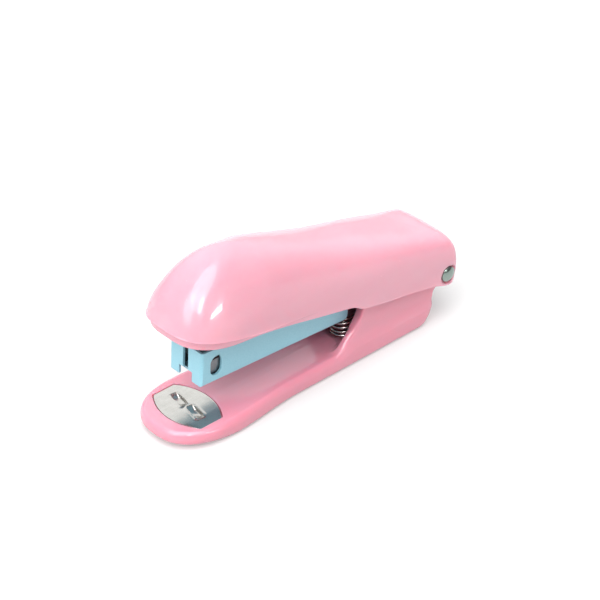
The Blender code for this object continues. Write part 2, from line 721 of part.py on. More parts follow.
def make_leaf_spring(steel, cover):
    """Flat spring riveted under the driver frame, bent down towards the staples."""
    seat, bend = DRIVER_TOP - DRIVER_SHEET - GAP, LEAF_X - 8
    upper = [(LEAF_X + 4, seat), (bend, seat)]
    for i in range(1, 9):
        t = i / 8
        upper.append((bend - 25 * t, seat - 10 * ease(t, 0, 1.3)))
    lower = [(x, z - LEAF_THICK) for x, z in reversed(upper)]
    leaf = piece("leaf_spring", prism("Y", upper + lower, -3.5, 3.5), steel, cover)
    cut(leaf, "leaf_hole", rod("Z", (LEAF_X, 0), RIVET_HOLE_R, seat - 2, seat + 1, 16))


def make_leaf_rivet(steel, cover):
    """The rivet that holds the leaf spring up against the driver frame."""
    low, high = DRIVER_TOP - DRIVER_SHEET - LEAF_THICK - 2 * GAP, DRIVER_TOP + GAP
    lower_head = [(1.5, low - 0.6), (1.9, low), (RIVET_R, low)]
    upper_head = [(RIVET_R, high), (1.6, high), (1.3, high + 0.4)]
    piece("leaf_rivet", turned("Z", (LEAF_X, 0), lower_head + upper_head, 16), steel, cover)


def main():
    clear_scene()
    pink = material("pink_plastic", PINK, 0.22)
    blue = material("blue_paint", BLUE, 0.3, 0.2)
    steel = material("plated_steel", STEEL, 0.3, 1.0)
    bright = material("bright_steel", BRIGHT_STEEL, 0.2, 1.0)
    dark = material("dark_plastic", DARK_PLASTIC, 0.4)
    rubber = material("rubber", RUBBER, 0.8)

    base = group("base", 0)
    make_base_shell(pink, base)
    make_base_sole(rubber, base)
    make_anvil_plate(bright, base)
    make_return_spring(steel, base)
    make_pin(bright, base)

    magazine = group("magazine", PIVOT_Z, MAGAZINE_TILT)
    make_magazine_channel(blue, magazine)
    make_magazine_frame(steel, magazine)
    make_spring_stud(bright, magazine)
    make_frame_rivets(bright, magazine)
    make_staple_core(steel, magazine)
    make_guide_rod(steel, magazine)
    make_rear_block(dark, magazine)
    make_pusher_spring(steel, magazine)
    make_pusher(steel, group("pusher_slide", PIVOT_Z, MAGAZINE_TILT))

    cover = group("cover", PIVOT_Z, COVER_TILT)
    make_cover_shell(pink, cover)
    make_driver_frame(steel, cover)
    make_driver_blade(bright, cover)
    make_driver_rivets(bright, cover)
    make_leaf_spring(steel, cover)
    make_leaf_rivet(bright, cover)


main()
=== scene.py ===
"""Looks of the compact desktop stapler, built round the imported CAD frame.

Pieces are drawn in millimetres as in the CAD: x from the pivot pin (negative towards the nose), y across
and z up, level, and each is tilted to the rest pose of its body as it is made.
"""

import json
import math

import bmesh
import bpy
from mathutils import Matrix, Vector

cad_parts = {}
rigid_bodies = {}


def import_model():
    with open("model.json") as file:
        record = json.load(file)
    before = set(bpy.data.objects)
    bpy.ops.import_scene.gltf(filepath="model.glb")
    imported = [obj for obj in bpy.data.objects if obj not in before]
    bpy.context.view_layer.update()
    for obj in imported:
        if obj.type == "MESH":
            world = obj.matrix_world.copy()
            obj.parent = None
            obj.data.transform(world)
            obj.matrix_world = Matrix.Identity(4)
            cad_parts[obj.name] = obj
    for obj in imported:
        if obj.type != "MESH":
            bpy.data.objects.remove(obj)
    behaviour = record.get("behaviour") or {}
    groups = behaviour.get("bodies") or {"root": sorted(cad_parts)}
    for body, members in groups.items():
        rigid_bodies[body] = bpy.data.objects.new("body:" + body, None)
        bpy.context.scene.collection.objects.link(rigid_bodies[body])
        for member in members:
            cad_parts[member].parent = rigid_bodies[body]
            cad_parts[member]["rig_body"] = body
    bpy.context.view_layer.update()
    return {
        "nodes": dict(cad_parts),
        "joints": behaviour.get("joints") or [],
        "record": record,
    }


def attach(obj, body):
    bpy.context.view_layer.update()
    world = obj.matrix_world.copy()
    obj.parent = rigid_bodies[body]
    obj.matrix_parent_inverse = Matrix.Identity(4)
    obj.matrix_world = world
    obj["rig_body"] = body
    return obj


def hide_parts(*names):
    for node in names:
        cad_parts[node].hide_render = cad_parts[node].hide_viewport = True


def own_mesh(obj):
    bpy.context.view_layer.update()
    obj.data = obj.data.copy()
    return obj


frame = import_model()

MM = 0.001
PIVOT = Vector(next(j["pos_m"] for j in frame["joints"] if j["name"] == "cover_pivot"))
PIN_Z = PIVOT.z / MM
COVER_TILT = 12.5  # degrees, nose up at rest
MAGAZINE_TILT = 3.2
PIN_R = 1.6
PIN_HEAD_R = 2.7
PIN_HOLE_R = 1.9
PAST = 40.0  # open-ended cutters run this far
GAP = 0.3  # between pieces that touch, as in the CAD

COVER_NOSE = 107.9
COVER_NOSE_RUN = 23.0
COVER_REAR = 6.0
COVER_REAR_RUN = 5.0
COVER_HALF = 15.4
COVER_REAR_HALF = 14.6
COVER_WALL = 1.8
COVER_RIM = -2.6
COVER_RIDGE = -2.0
COVER_SPINE = (-84.5, -9.0)
NOSE_FADE = (-84, -50)  # where the ridge and the undercut round the nose die away

BASE_NOSE = 110.9
BASE_REAR = 1.6
BASE_HALF = 15.2
BASE_WAIST = 13.0
BASE_SPINE = (-96.0, -9.0)
RIM_Z = 6.1
CHEEK_OUT = 12.2
CHEEK_IN = 8.8
CHEEK_TOP = 22.4
CHEEK_FRONT = -35.0
CHEEK_SCOOP = 12.0
CHEEK_LUG_R = 4.1
HEEL_R = 7.5
FLOOR_Z = 5.2
SPRING_X = -32.6
WELL_R = 5.5
WELL_Z = 2.8

PLATE_X = (-101.3, -93.2)
PLATE_HALF = 11.2
PLATE_BULGE = 3.9
PLATE_TOP = 5.95
PLATE_THICK = 1.2
GROOVE = (0.15, 3.95)  # the middle of a clinch groove from the middle of the plate
GROOVE_SKEW = math.radians(8)

MAG_FRONT = -97.5
MAG_REAR = -37.6
MAG_HALF = 7.5
MAG_Z = (-5.57, 6.33)
SHEET = 0.8
WINDOW_X = -91.9
WINDOW_R = 2.2
PUSHER_AXIS = (0, -2.1)  # the line of the pusher's spring, across and up from the pin

CAMERA_AT = Vector((-0.4077, -0.4513, 0.4462))
CAMERA_LOOK = Vector((0.5519, 0.6087, -0.5700))
CAMERA_LENS = 143.4
FLOOR_HALF = 9  # metres


def placing(z, tilt):
    """From a body's own level millimetres to metres at rest."""
    turn = Matrix.Rotation(math.radians(tilt), 4, "Y")
    return Matrix.Translation((PIVOT.x, 0, z)) @ turn @ Matrix.Scale(MM, 4)


PLACE = {
    "base": placing(0, 0),
    "magazine": placing(PIVOT.z, MAGAZINE_TILT),
    "pusher": placing(PIVOT.z, MAGAZINE_TILT),
    "cover": placing(PIVOT.z, COVER_TILT),
}


# Objects


def finish_mesh(made, smooth):
    """Smooth shading, with edges sharper than an angle kept sharp."""
    made.data.shade_smooth()
    made.data.set_sharp_from_angle(angle=math.radians(smooth))


def piece(name, shape, smooth=40):
    """An object from a bmesh, in its body's level millimetres until it is shown."""
    bmesh.ops.recalc_face_normals(shape, faces=shape.faces)
    mesh = bpy.data.meshes.new(name)
    shape.to_mesh(mesh)
    shape.free()
    made = bpy.data.objects.new(name, mesh)
    bpy.context.scene.collection.objects.link(made)
    finish_mesh(made, smooth)
    return made


def settle(made, smooth=None):
    """Turns an object's modifiers into its mesh."""
    bpy.context.view_layer.update()
    evaluated = made.evaluated_get(bpy.context.evaluated_depsgraph_get())
    mesh = bpy.data.meshes.new_from_object(evaluated)
    made.modifiers.clear()
    made.data = mesh
    if smooth is not None:
        finish_mesh(made, smooth)


def combine(made, other, operation):
    """Cuts, adds or keeps a scratch object, which is then removed."""
    step = made.modifiers.new(operation.lower(), "BOOLEAN")
    step.object = other
    step.operation = operation
    step.solver = "EXACT"
    settle(made)
    bpy.data.objects.remove(other, do_unlink=True)


def cut(made, shape):
    """Takes a shape out of an object."""
    combine(made, piece("cutter", shape), "DIFFERENCE")


def keep(made, shape):
    """Keeps only what lies inside a shape."""
    combine(made, piece("keeper", shape), "INTERSECT")


def bevel(made, width, segments=2, angle=35, smooth=40):
    """Rounds the edges that turn by more than an angle."""
    step = made.modifiers.new("bevel", "BEVEL")
    step.width = width
    step.segments = segments
    step.limit_method = "ANGLE"
    step.angle_limit = math.radians(angle)
    step.harden_normals = False
    settle(made, smooth)


def dress(made, finish):
    """Gives an object one material."""
    made.data.materials.clear()
    made.data.materials.append(finish)


def show(made, finish, body, slot, *nodes):
    """Puts a finished piece at its rest place, instead of its CAD nodes."""
    made.data.transform(PLACE[body])
    dress(made, finish)
    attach(made, body)
    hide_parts(*nodes)
    return made


# Shapes


def prism(axis, outline, low, high):
    """An outline pushed along an axis. Y takes (x, z) points, Z takes (x, y) and X takes (y, z)."""
    place = {
        "X": lambda a, b, h: (h, a, b),
        "Y": lambda a, b, h: (a, h, b),
        "Z": lambda a, b, h: (a, b, h),
    }[axis]
    shape = bmesh.new()
    rings = [[shape.verts.new(place(a, b, h)) for a, b in outline] for h in (low, high)]
    shape.faces.new(rings[0])
    shape.faces.new(list(reversed(rings[1])))
    bridge(shape, rings)
    return shape


def box(x, y, z):
    """A box from its (low, high) pairs."""
    return prism("Z", [(x[0], y[0]), (x[1], y[0]), (x[1], y[1]), (x[0], y[1])], *z)


def arc(centre, radius, start, end, steps):
    """Points on an arc, angles in degrees from the first axis."""
    turn = [math.radians(start + (end - start) * i / steps) for i in range(steps + 1)]
    return [(centre[0] + radius * math.cos(t), centre[1] + radius * math.sin(t)) for t in turn]


def bow_radius(half, rise):
    """Radius of an arc from half its chord and how far it bows."""
    return (half ** 2 + rise ** 2) / (2 * rise)


def circle(centre, radius, sides):
    """Points all round a circle."""
    return arc(centre, radius, 0, 360 * (1 - 1 / sides), sides - 1)


def rod(axis, centre, radius, low, high, sides=48):
    """A round rod along an axis."""
    return prism(axis, circle(centre, radius, sides), low, high)


def turned(axis, centre, profile, sides=64):
    """A solid of revolution about an axis line: profile is (radius, place along the axis)."""
    place = {
        "X": lambda a, b, h: (h, centre[0] + a, centre[1] + b),
        "Y": lambda a, b, h: (centre[0] + a, h, centre[1] + b),
        "Z": lambda a, b, h: (centre[0] + a, centre[1] + b, h),
    }[axis]
    shape = bmesh.new()
    rings = []
    for radius, height in profile:
        rings.append([shape.verts.new(place(a, b, height)) for a, b in circle((0, 0), radius, sides)])
    shape.faces.new(rings[0])
    shape.faces.new(list(reversed(rings[-1])))
    bridge(shape, rings)
    return shape


def bridge(shape, rings):
    """Quads between closed rings of equal length."""
    for low, high in zip(rings, rings[1:]):
        count = len(low)
        for i in range(count):
            after = (i + 1) % count
            corners = (low[i], low[after], high[after], high[i])
            if len({v.co.to_tuple(6) for v in corners}) > 2:
                shape.faces.new(corners)


def ease(value, start, end):
    """0 before start and 1 after end, with a smooth step between."""
    t = min(1.0, max(0.0, (value - start) / (end - start)))
    return t * t * (3 - 2 * t)


def side_outline(nose, nose_run, half, waist, taper, rear, rear_run, power, counts):
    """One side of a plan outline from the nose's tip to the middle of the rear, as (x, y)."""
    points = []
    for i in range(counts[0]):
        t = math.radians(90 * i / counts[0])
        x = -nose + nose_run * (1 - math.cos(t) ** (2 / power))
        points.append((x, half * math.sin(t) ** (2 / power)))
    start, end = -nose + nose_run, rear - rear_run
    for i in range(counts[1]):
        x = start + (end - start) * i / counts[1]
        points.append((x, half + (waist - half) * ease(x, *taper)))
    for i in range(counts[2] + 1):
        t = math.radians(90 * i / counts[2])
        points.append((end + rear_run * math.sin(t) ** (2 / 3), waist * math.cos(t) ** (2 / 3)))
    points[-1] = (rear, 0.0)
    return points


def spine_x(x, spine):
    """The place on the centre line that a point of the outline closes towards."""
    reach = 6.0
    if x < spine[0] + reach:
        return spine[0] + reach * max(0.0, (x - spine[0] + 25) / (25 + reach))
    return min(x, spine[1] - 2.0 + 2.0 * ease(x, spine[1] - 2, spine[1] + 12))


def ringed(outline, rings):
    """A closed body from rings round a mirrored outline; a ring gives each point's x, y and z."""
    shape = bmesh.new()
    loop = [(x, y) for x, y in outline] + [(x, -y) for x, y in reversed(outline[1:-1])]
    rows = [[shape.verts.new(ring(x, y)) for x, y in loop] for ring in rings]
    bridge(shape, rows)
    bmesh.ops.remove_doubles(shape, verts=shape.verts, dist=1e-4)
    return shape


# Materials


def new_material(name):
    """A node material, with its nodes, its links and its shader."""
    made = bpy.data.materials.new(name)
    made.use_nodes = True
    nodes = made.node_tree.nodes
    return made, nodes, made.node_tree.links, nodes["Principled BSDF"]


def coordinates(nodes, links, stretch=(1, 1, 1)):
    """Object coordinates in millimetres, stretched along some axes."""
    where = nodes.new("ShaderNodeTexCoord")
    mapping = nodes.new("ShaderNodeMapping")
    mapping.inputs["Scale"].default_value = [s / MM for s in stretch]
    links.new(where.outputs["Object"], mapping.inputs["Vector"])
    return mapping.outputs["Vector"]


def noise(nodes, links, vector, scale, detail=3.0, roughness=0.5):
    """Noise from 0 to 1, with its scale per millimetre."""
    made = nodes.new("ShaderNodeTexNoise")
    made.inputs["Scale"].default_value = scale
    made.inputs["Detail"].default_value = detail
    made.inputs["Roughness"].default_value = roughness
    links.new(vector, made.inputs["Vector"])
    return made.outputs["Fac"]


def ramp(nodes, links, value, low, high, at=(0.3, 0.7)):
    """A colour that runs from low to high as a value runs between two places."""
    made = nodes.new("ShaderNodeValToRGB")
    made.color_ramp.elements[0].position = at[0]
    made.color_ramp.elements[0].color = (*low, 1)
    made.color_ramp.elements[1].position = at[1]
    made.color_ramp.elements[1].color = (*high, 1)
    links.new(value, made.inputs["Fac"])
    return made.outputs["Color"]


def between(nodes, links, value, low, high):
    """A value from 0 to 1 spread between two others."""
    made = nodes.new("ShaderNodeMapRange")
    made.inputs["To Min"].default_value = low
    made.inputs["To Max"].default_value = high
    links.new(value, made.inputs["Value"])
    return made.outputs["Result"]


def relief(nodes, links, shader, height, distance, strength):
    """Bump from a height in millimetres."""
    made = nodes.new("ShaderNodeBump")
    made.inputs["Strength"].default_value = strength
    made.inputs["Distance"].default_value = distance * MM
    links.new(height, made.inputs["Height"])
    links.new(made.outputs["Normal"], shader.inputs["Normal"])


def pink_plastic(name, low, high):
    """Glossy moulded plastic: a faint flow mottle, a little light in its depth and fine orange peel."""
    made, nodes, links, shader = new_material(name)
    vector = coordinates(nodes, links)
    flow = noise(nodes, links, coordinates(nodes, links, (0.35, 1, 1)), 0.09, 2.0)
    links.new(ramp(nodes, links, flow, low, high), shader.inputs["Base Color"])
    rough = noise(nodes, links, vector, 0.6, 4.0)
    links.new(between(nodes, links, rough, 0.2, 0.3), shader.inputs["Roughness"])
    relief(nodes, links, shader, noise(nodes, links, vector, 1.1, 2.0), 0.02, 0.25)
    shader.inputs["Subsurface Weight"].default_value = 0.7
    shader.inputs["Subsurface Radius"].default_value = (1.0, 0.3, 0.35)
    shader.inputs["Subsurface Scale"].default_value = 0.004
    shader.inputs["Coat Weight"].default_value = 0.45
    shader.inputs["Specular IOR Level"].default_value = 0.4
    shader.inputs["Coat Roughness"].default_value = 0.04
    return made


def blue_paint():
    """Stoved enamel on sheet steel, with a fine speckle and orange peel."""
    made, nodes, links, shader = new_material("blue_paint")
    vector = coordinates(nodes, links)
    speckle = noise(nodes, links, vector, 3.0, 4.0)
    body = ramp(nodes, links, speckle, (0.25, 0.54, 0.645), (0.29, 0.58, 0.685))
    links.new(body, shader.inputs["Base Color"])
    rough = noise(nodes, links, vector, 0.8)
    links.new(between(nodes, links, rough, 0.26, 0.38), shader.inputs["Roughness"])
    relief(nodes, links, shader, noise(nodes, links, vector, 2.2, 3.0), 0.02, 0.3)
    shader.inputs["Metallic"].default_value = 0.1
    shader.inputs["Coat Weight"].default_value = 0.3
    shader.inputs["Coat Roughness"].default_value = 0.15
    return made


def steel(name, low, high, roughness, stretch, scratch=0.35):
    """Metal with rolled or brushed streaks along one way, and a cloudy tarnish over them."""
    made, nodes, links, shader = new_material(name)
    streaks = noise(nodes, links, coordinates(nodes, links, stretch), 2.0, 5.0, 0.65)
    cloud = noise(nodes, links, coordinates(nodes, links), 0.35, 3.0)
    blend = nodes.new("ShaderNodeMath")
    blend.operation = "MULTIPLY_ADD"
    blend.inputs[1].default_value = 0.5
    links.new(streaks, blend.inputs[0])
    half = nodes.new("ShaderNodeMath")
    half.operation = "MULTIPLY"
    half.inputs[1].default_value = 0.5
    links.new(cloud, half.inputs[0])
    links.new(half.outputs[0], blend.inputs[2])
    links.new(ramp(nodes, links, blend.outputs[0], low, high), shader.inputs["Base Color"])
    links.new(between(nodes, links, streaks, *roughness), shader.inputs["Roughness"])
    relief(nodes, links, shader, streaks, 0.01, scratch)
    shader.inputs["Metallic"].default_value = 1.0
    return made


def dark_plastic():
    """Matt moulded plastic of the spring's block."""
    made, nodes, links, shader = new_material("dark_plastic")
    grain = noise(nodes, links, coordinates(nodes, links), 4.0, 3.0)
    body = ramp(nodes, links, grain, (0.05, 0.05, 0.055), (0.09, 0.085, 0.09))
    links.new(body, shader.inputs["Base Color"])
    links.new(between(nodes, links, grain, 0.4, 0.6), shader.inputs["Roughness"])
    relief(nodes, links, shader, grain, 0.03, 0.4)
    return made


def sole_rubber():
    """Dusty dark rubber with a fine grain."""
    made, nodes, links, shader = new_material("sole_rubber")
    vector = coordinates(nodes, links)
    dust = noise(nodes, links, vector, 0.7, 5.0)
    body = ramp(nodes, links, dust, (0.035, 0.03, 0.033), (0.075, 0.066, 0.07))
    links.new(body, shader.inputs["Base Color"])
    links.new(between(nodes, links, dust, 0.65, 0.85), shader.inputs["Roughness"])
    relief(nodes, links, shader, noise(nodes, links, vector, 5.0, 3.0), 0.04, 0.5)
    return made


PINK = pink_plastic("pink_plastic", (0.69, 0.325, 0.40), (0.72, 0.35, 0.425))
# The base wears a darker, redder copy of the same pink plastic: painted shade for the deep rose of its
# shaded trough.
SHADED_PINK = pink_plastic("pink_plastic_painted_shade", (0.70, 0.265, 0.345), (0.73, 0.29, 0.37))
BLUE = blue_paint()
PLATE = steel("anvil_steel", (0.52, 0.515, 0.485), (0.62, 0.615, 0.59), (0.16, 0.3), (0.06, 1, 1))
BRIGHT = steel("bright_steel", (0.74, 0.75, 0.74), (0.88, 0.89, 0.88), (0.12, 0.24), (1, 1, 1), 0.2)
PLAIN = steel("plated_steel", (0.13, 0.13, 0.14), (0.24, 0.24, 0.25), (0.25, 0.42), (0.08, 1, 1))
PIN = steel("pin_steel", (0.20, 0.26, 0.23), (0.32, 0.38, 0.35), (0.12, 0.24), (1, 1, 1), 0.2)
WIRE = steel("spring_steel", (0.38, 0.33, 0.33), (0.58, 0.53, 0.52), (0.14, 0.28), (1, 1, 1), 0.2)
DARK = dark_plastic()
RUBBER = sole_rubber()


# Cover


def cover_top(x):
    """Height of the crown line over the pin: high over the nose, lower along the hand rest."""
    return 22.3 - 5.6 * ease(x, -90, -38) - 3.4 * ease(x, -46, 0)


def cover_side(inset):
    """One side of the cover's plan outline, moved in for its inner face."""
    return side_outline(
        COVER_NOSE - inset, COVER_NOSE_RUN - inset, COVER_HALF - inset, COVER_REAR_HALF - inset,
        (-92, -45), COVER_REAR - inset, COVER_REAR_RUN - inset, 3.1, (34, 96, 20))


def cover_power(x):
    """How square the cross-section is: round at the nose, square-shouldered towards the rear."""
    return 1.95 + 0.9 * ease(x, -100, -45) + 1.2 * ease(x, -50, -10)


def at_nose(x):
    """1 round the nose, fading to 0 along the sides."""
    return 1 - ease(x, *NOSE_FADE)


def ridge(x):
    """Height of the widest line: a ridge close over the lower edge at the nose, then the pin's level."""
    return COVER_RIDGE * at_nose(x)


def cover_point(x, y, share, inset):
    """A point of the dome: share runs from 0 at the widest line to 1 on the crown."""
    power = cover_power(x)
    turn = math.radians(90 * share)
    reach = (math.cos(turn) ** power + math.sin(turn) ** power) ** (-1 / power)
    out, up = math.cos(turn) * reach, math.sin(turn) * reach
    middle = spine_x(x, COVER_SPINE)
    if x < middle:
        corner = (2 * (x - middle) * y / ((x - middle) ** 2 + y * y)) ** 2
        out *= 1 - 0.065 * corner * ease(share, 0.02, 0.4)
    z = ridge(x) + (cover_top(middle) - inset - ridge(x)) * up
    px = middle + (x - middle) * out
    lean = math.tan(math.radians(COVER_TILT)) * ease(px, -14, COVER_REAR)
    return (px - lean * max(0.0, z - 2), y * out, z)


def cover_rim(x):
    """Height of the lower edge: it droops at the nose, hangs lower over the cheeks and round the
    pin's lug, and curls up behind the pin."""
    curl = math.sqrt(max(0.002, 1 - (max(0.0, x) / COVER_REAR) ** 2))
    over_cheeks = 1.6 * ease(x, -43, -36.5) - 0.9 * ease(x, -34, -12)
    return (COVER_RIM - 2.3 * (1 - ease(x, -100, -62)) - over_cheeks - 0.7 * ease(x, -6, 0)) * curl


def cover_skirt(x, y, share, out=0.0):
    """A point below the widest line: share runs from 0 there to 1 on the rim, which is undercut all
    round the nose."""
    nose = at_nose(x)
    middle = spine_x(x, COVER_SPINE)
    reach = math.hypot(x - middle, y) or 1.0
    pull = 1 + (out - nose * (1.15 * nose * ease(share, 0, 0.14) + 0.6 * share)) / reach
    z = ridge(x) + (cover_rim(x) - ridge(x)) * share
    return (middle + (x - middle) * pull, y * pull, z)


def flared(x, y, share, out):
    """A point of the dome's foot, which swells into a fine bead along the ridge round the nose."""
    px, py, pz = cover_point(x, y, share, 0)
    middle = spine_x(x, COVER_SPINE)
    pull = 1 + out * at_nose(x) ** 2 / (math.hypot(x - middle, y) or 1.0)
    return (middle + (px - middle) * pull, py * pull, pz)


def inner_skirt(inside, outside, share):
    """The inner side of the skirt keeps the outer rim's height."""
    x, y, _ = cover_skirt(*inside, share)
    top = ridge(outside[0])
    return (x, y, top + (cover_rim(outside[0]) - top) * share)


def make_cover():
    """The cover shell: a dome with a beaded, undercut nose, cut open at the rear for the base's cheeks."""
    outer = cover_side(0)
    inner = dict(zip(outer, cover_side(COVER_WALL)))
    inner.update({(x, -y): (a, -b) for (x, y), (a, b) in inner.items()})
    rings = []
    for i in range(18, 0, -1):
        rings.append(lambda x, y, s=i / 18: cover_point(*inner[(x, y)], s, COVER_WALL))
    for share in (0.0, 0.4, 0.8, 0.97):
        rings.append(lambda x, y, s=share: inner_skirt(inner[(x, y)], (x, y), s))
    for share, out in ((1.0, -0.8), (1.0, -0.28), (0.985, -0.1), (0.94, 0.0)):
        rings.append(lambda x, y, s=share, o=out: cover_skirt(x, y, s, o))
    for share in (0.8, 0.62, 0.45, 0.3, 0.2, 0.13, 0.1, 0.07, 0.04, 0.015):
        rings.append(lambda x, y, s=share: cover_skirt(x, y, s))
    bead = ((0.0, 0.09), (0.002, 0.17), (0.005, 0.2), (0.009, 0.16), (0.014, 0.08), (0.02, 0.0))
    for share, out in bead:
        rings.append(lambda x, y, s=share, o=out: flared(x, y, s, o))
    for i in range(2, 33):
        rings.append(lambda x, y, s=i / 32: cover_point(x, y, s, 0))
    shell = piece("cover_body", ringed(outer, rings), 60)
    opening = CHEEK_OUT + 0.5
    cut(shell, box((-1.5, PAST), (-opening, opening), (-PAST, 4.8)))
    seat, seat_r = COVER_REAR_HALF - 1.1, PIN_HEAD_R + 0.45
    mouth_r = seat_r + 0.25
    bore = [(mouth_r, -PAST), (mouth_r, -seat - 0.75), (seat_r, -seat - 0.45), (seat_r, -seat)]
    bore.append((PIN_HOLE_R, -seat))
    bore += [(r, -y) for r, y in reversed(bore)]
    cut(shell, turned("Y", (0, 0), bore))
    finish_mesh(shell, 38)
    show(shell, PINK, "cover", "pink_plastic", "cover_shell")


# Base


def base_side(counts=(34, 96, 20)):
    """One side of the base's plan outline."""
    return side_outline(
        BASE_NOSE, 19, BASE_HALF, BASE_WAIST, (-91, -63), -BASE_REAR, 7, 2.4, counts)


def inward(x, y, distance):
    """A plan point moved in from the outline towards the spine by a distance."""
    middle = spine_x(x, BASE_SPINE)
    reach = math.hypot(x - middle, y) or 1.0
    t = min(1.0, distance / reach)
    return middle + (x - middle) * (1 - t), y * (1 - t)


def heel_shift(x, z):
    """How far forward the rounding of the heel moves a point of the rear end."""
    low = max(0.0, HEEL_R - z) / HEEL_R
    return HEEL_R * (1 - math.sqrt(1 - low ** 2)) * ease(x, -16, -3)


def base_ring(distance, z, shift_z=None):
    """A level ring, rounded at the heel as for its own height or another, and undercut at the nose."""

    def ring(x, y):
        undercut = 0.9 * (2.6 - min(2.6, z)) * (1 - ease(x, -106, -88))
        px, py = inward(x, y, distance + undercut)
        return (px - heel_shift(px, z if shift_z is None else shift_z), py, z)

    return ring


def flank_ring(distance, front, rear):
    """A ring whose height rises from the tongue's rim to the foot of the cheeks."""

    def ring(x, y):
        px, py = inward(x, y, distance)
        rise = ease(px, CHEEK_FRONT - 12, CHEEK_FRONT - 3)
        z = front + (min(rear, 10.8 + 1.6 * (1 - ease(px, -10, -5))) - front) * rise
        return (px - heel_shift(px, z), py * (1 - 0.03 * rise * min(1.0, distance)), z)

    return ring


def trough_ring(share, depth):
    """A ring of the top surface, which sinks into a shallow trough behind the anvil."""

    def ring(x, y):
        middle = spine_x(x, BASE_SPINE)
        px = middle + (x - middle) * (1 - share)
        return (px, y * (1 - share), RIM_Z - 0.1 - depth * ease(px, -92, -73))

    return ring


def cheek_profile():
    """Side view of the cheeks behind their swept front: a flat top and a round lug on the pin."""
    front = CHEEK_FRONT + 1.5
    lug = arc((0, PIN_Z), CHEEK_LUG_R, 90, -60, 24)
    heel = [(-0.8, 13.2), (-3.2, 12.6), (-4.2, 11.4), (-4.6, 9.0), (-4.8, 7.0), (-6.0, 3.0)]
    return [(front, 3.0), (front, CHEEK_TOP)] + lug + heel


def cheek_section():
    """The cheeks seen along the base, with their upper edges leaning in."""
    half = [(CHEEK_OUT, 3.0), (CHEEK_OUT, CHEEK_TOP - 0.8), (CHEEK_OUT - 0.6, CHEEK_TOP + 0.5)]
    return half + [(-y, z) for y, z in reversed(half)]


def plate_outline(grow=0.0, steps=40):
    """The anvil plate's outline: two straight ends and two bowed sides."""
    half, bulge = PLATE_HALF + grow, PLATE_BULGE
    radius = bow_radius(half, bulge)
    spread = math.degrees(math.asin(half / radius))
    front = arc((PLATE_X[0] - grow - bulge + radius, 0), radius, 180 + spread, 180 - spread, steps)
    rear = arc((PLATE_X[1] + grow + bulge - radius, 0), radius, spread, -spread, steps)
    return front + rear


def soften(made, rounds, weight=None):
    """Smooths a dense mesh in place, more where a weight between 0 and 1 says so."""
    step = made.modifiers.new("soften", "SMOOTH")
    step.factor = 0.5
    step.iterations = rounds
    if weight:
        group = made.vertex_groups.new(name="soften")
        for vertex in made.data.vertices:
            amount = weight(*vertex.co)
            if amount > 0:
                group.add([vertex.index], amount, "REPLACE")
        step.vertex_group = group.name
    settle(made)


def side_weight(x, y, z):
    """Where the cheeks' outer faces run into the flanks below them."""
    out = ease(abs(y), 10.8, 11.6)
    return out * ease(x, -52, -46) * ease(z, 6, 8) * (1 - ease(z, 14, 16)) * (1 - ease(x, -7, -4))


def scoop_height(x):
    """Height of the cheeks' scooped front edge over a place along the base."""
    back = min(1.0, max(0.0, (CHEEK_FRONT - x) / CHEEK_SCOOP))
    return RIM_Z - 0.5 + (CHEEK_TOP - RIM_Z + 0.5) * (1 - back ** (1 / 2.2))


def root_height(x, y):
    """The trough sweeps up into the cheeks' front, which leans back towards its inner edge."""
    floor = RIM_Z - 1.4
    edge = scoop_height(x - 0.6 * (1 - ease(abs(y), 8.3, 11.8)))
    share = ease(abs(y), 4.5, 11.5)
    share += (1 - share) * ease(edge, 8.5, 13) * ease(abs(y), 7, 9)
    return floor + max(0.0, edge - floor) * share


def make_root():
    """The swept-up part of the trough, as a solid between the cheeks' outer faces."""
    columns = [-50 + 0.5 * i for i in range(35)]
    rows = [CHEEK_OUT * (2 * j / 48 - 1) for j in range(49)]
    shape = bmesh.new()
    top = [[shape.verts.new((x, y, root_height(x, y))) for y in rows] for x in columns]
    low = [[shape.verts.new((x, y, 3.0)) for y in rows] for x in columns]
    for i in range(len(columns) - 1):
        for j in range(len(rows) - 1):
            shape.faces.new((top[i][j], top[i + 1][j], top[i + 1][j + 1], top[i][j + 1]))
            shape.faces.new((low[i][j], low[i][j + 1], low[i + 1][j + 1], low[i + 1][j]))
    for i in range(len(columns) - 1):
        for j in (0, len(rows) - 1):
            shape.faces.new((top[i][j], top[i + 1][j], low[i + 1][j], low[i][j]))
    for j in range(len(rows) - 1):
        for i in (0, len(columns) - 1):
            shape.faces.new((top[i][j], top[i][j + 1], low[i][j + 1], low[i][j]))
    return piece("root", shape)


def slot_outline(rear, inset=0.0):
    """The slot between the cheeks: its front edge bows round the spring."""
    side = CHEEK_IN - inset
    front = [(-39.2, 0.0), (-39.5, 2.5), (-40.3, 5.0), (-41.4, 7.0), (-43.2, side)]
    front = [(x + inset, y) for x, y in front]
    near = [(x, -y) for x, y in reversed(front[1:])]
    return [(rear, -side)] + near + front + [(rear, side)]


